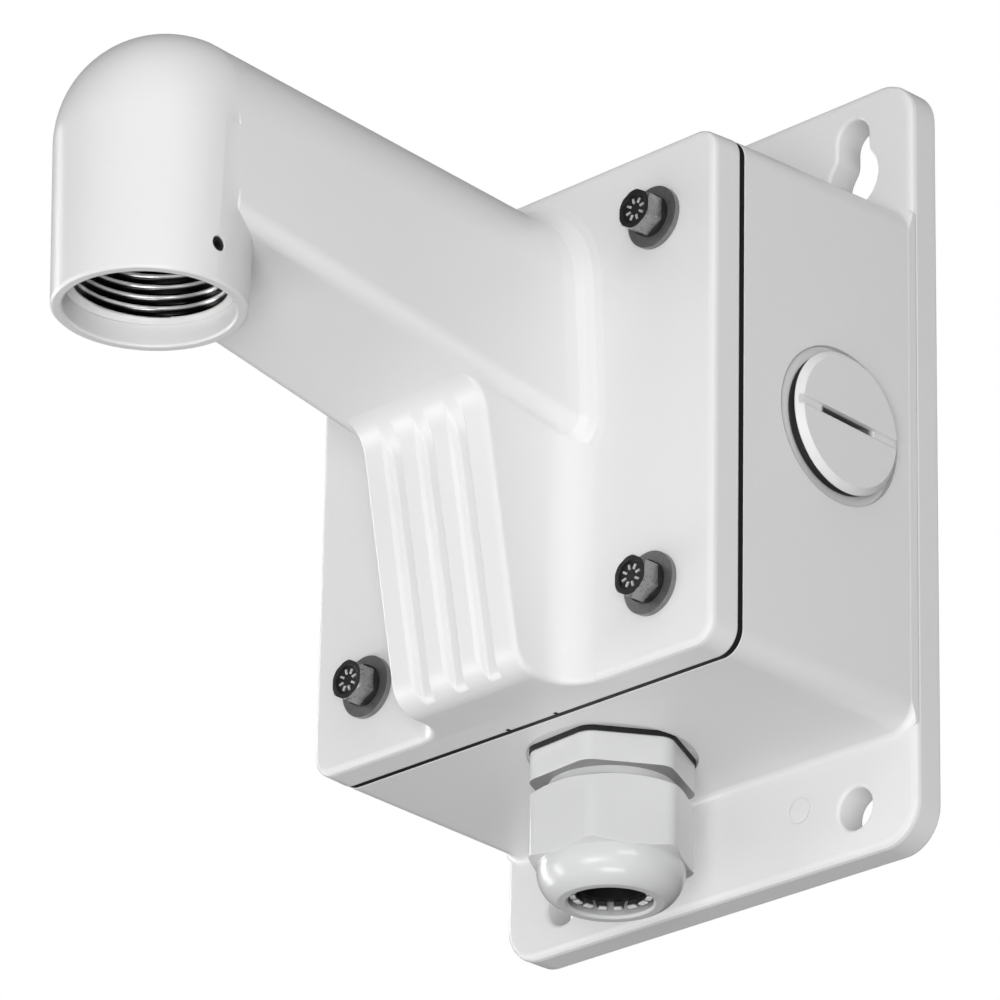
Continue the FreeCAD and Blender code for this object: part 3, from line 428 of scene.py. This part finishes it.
def flangeShadeFinish(centre, normal):  # 1 on the flange's underside, which gets the dark nylon as painted shade of the cap nut
    return 1 if normal.z < -facing and abs(centre.z - flange["bottom"]) < flange["reach"] else 0


copyOf("gland_body", "glandBody", ["nylon", "shadedNylon"], chosen=flangeShadeFinish)
print("gland body made")


plainFinishes = {
    "wall_box": "paint", "cover_gasket": "rubber", "cover_spring_washers": "darkSteel",
    "cover_flat_washers": "washerSteel", "spout_grub_screw": "darkSteel", "side_plug": "plugPaintWellShade",
    "side_plug_seal": "rubber", "gland_seal_washer": "rubber", "gland_lock_nut": "nylon",
    "gland_claw_ring": "clawNylonLitAndShaded", "gland_cable_seal": "rubber", "gland_cap_nut": "nylon",
}
for node, finish in plainFinishes.items():
    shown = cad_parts[node]
    shown.data.materials.clear()
    shown.data.materials.append(materials[finish])
print("plain finishes given")


view = {"place": (883.51, -940.56, -562.26), "azimuth": 45.3625, "rise": 23.7964, "roll": 1.1446,
        "lens": 242.065, "sensor": 36, "near": 0.05, "far": 50}


def photoCamera():
    camera = bpy.data.objects.new("photoCamera", bpy.data.cameras.new("photoCamera"))
    scene.collection.objects.link(camera)
    azimuth = math.radians(view["azimuth"])
    rise = math.radians(view["rise"])
    level = math.cos(rise)
    ahead = Vector((-math.sin(azimuth) * level, math.cos(azimuth) * level, math.sin(rise)))
    right = ahead.cross(Vector((0, 0, 1))).normalized()
    upward = right.cross(ahead)
    turn = math.radians(view["roll"])
    tiltedRight = right * math.cos(turn) + upward * math.sin(turn)
    tiltedUp = upward * math.cos(turn) - right * math.sin(turn)
    pose = Matrix((tiltedRight, tiltedUp, -ahead)).transposed().to_4x4()
    pose.translation = Vector(view["place"]) * mm
    camera.matrix_world = pose
    camera.data.lens = view["lens"]
    camera.data.sensor_width = view["sensor"]
    camera.data.clip_start = view["near"]
    camera.data.clip_end = view["far"]
    scene.camera = camera


studioLight = {"backdrop": 1.0, "fill": 0.16, "mirrored": 0.05, "target": (0, -0.08, 0)}
softBoxes = {  # each has its place and size in metres and its power, and whether it shows in reflections
    "keyPanel": ((1.0, -1.3, -0.6), (0.6, 0.6), 14, False),
    "topPanel": ((0.2, -0.6, 1.5), (1.2, 1.2), 5.2, False),
    "leftStrip": ((-1.6, -0.3, 0.0), (0.3, 1.6), 10, True),
    "frontPanel": ((-0.9, -1.6, 0.1), (1.2, 1.0), 1.9, True),
    "highRightPanel": ((1.3, -0.9, 1.2), (0.8, 0.8), 5.8, False),
    "lowLeftPanel": ((-1.2, -0.9, -0.8), (0.8, 0.8), 6, False),
    "lowRightPanel": ((1.3, -0.8, -0.8), (0.8, 0.8), 4.4, False),
    "rightPanel": ((1.7, -0.7, 0.1), (1.0, 1.0), 4, False),
    "lowPanel": ((0.1, -0.6, -0.85), (1.0, 1.0), 3, False),
    "backPanel": ((-0.5, 1.7, 0.5), (1.2, 1.2), 14, False),
}
gleams = {  # narrow lamps that show in reflections alone, as on the cap nut's dome
    "lowGleam": ((0.36, -0.38, -0.79), (0.4, 0.14), 1.3, True, False),
    "frontGleam": ((0.2, -0.82, -0.38), (0.4, 0.14), 1.1, True, False),
    "rightGleam": ((0.8, -0.37, -0.02), (0.4, 0.14), 1, True, False),
    "leftGleam": ((-0.84, -0.14, 0.06), (0.14, 0.4), 0.6, True, False),
    "midGleam": ((-0.62, -0.58, -0.31), (0.14, 0.4), 1, True, False),
}
paleFloor = {"drop": 0.9, "size": 12.0, "level": 0.88, "gloss": 0.7, "glow": 0.55,
             "corners": ((-1, -1), (1, -1), (1, 1), (-1, 1))}


def softBox(name, place, size, power, shown, lit=True):
    lamp = bpy.data.objects.new(name, bpy.data.lights.new(name, "AREA"))
    scene.collection.objects.link(lamp)
    lamp.data.shape = "RECTANGLE"
    lamp.data.size, lamp.data.size_y = size
    lamp.data.energy = power
    lamp.visible_camera = False
    lamp.visible_glossy = shown
    lamp.visible_diffuse = lit
    lamp.location = place
    aim = Vector(studioLight["target"]) - Vector(place)
    lamp.rotation_euler = aim.to_track_quat("-Z", "Y").to_euler()


def studio():
    # the backdrop is white to the camera, dimmer as a fill light and nearly dark in reflections
    world = bpy.data.worlds.new("paleStudio")
    scene.world = world
    world.use_nodes = True
    nodes, links = world.node_tree.nodes, world.node_tree.links
    backdrop = nodes["Background"]
    backdrop.inputs[0].default_value = (1, 1, 1, 1)
    path = nodes.new("ShaderNodeLightPath")
    level = studioLight["fill"]
    for ray, strength in (("Is Glossy Ray", "mirrored"), ("Is Camera Ray", "backdrop")):
        choice = nodes.new("ShaderNodeMix")
        choice.data_type = "FLOAT"
        links.new(path.outputs[ray], choice.inputs[0])
        if isinstance(level, float):
            choice.inputs[2].default_value = level
        else:
            links.new(level, choice.inputs[2])
        choice.inputs[3].default_value = studioLight[strength]
        level = choice.outputs[0]
    links.new(level, backdrop.inputs[1])
    for name, settings in (softBoxes | gleams).items():
        softBox(name, *settings)
    half = paleFloor["size"] / 2
    corners = [(x * half, y * half, -paleFloor["drop"]) for x, y in paleFloor["corners"]]
    mesh = bpy.data.meshes.new("paleFloor")
    mesh.from_pydata(corners, [], [(0, 1, 2, 3)])
    floor = bpy.data.objects.new("paleFloor", mesh)
    scene.collection.objects.link(floor)
    finish = Board("floorFinish").finish(Base_Color=grey(paleFloor["level"]), Roughness=paleFloor["gloss"],
                                         Emission_Color=grey(1), Emission_Strength=paleFloor["glow"])
    mesh.materials.append(finish)
    floor.visible_glossy = False
    floor.visible_diffuse = False
    scene.view_settings.view_transform = "Standard"


photoCamera()
studio()
print("camera and light set")
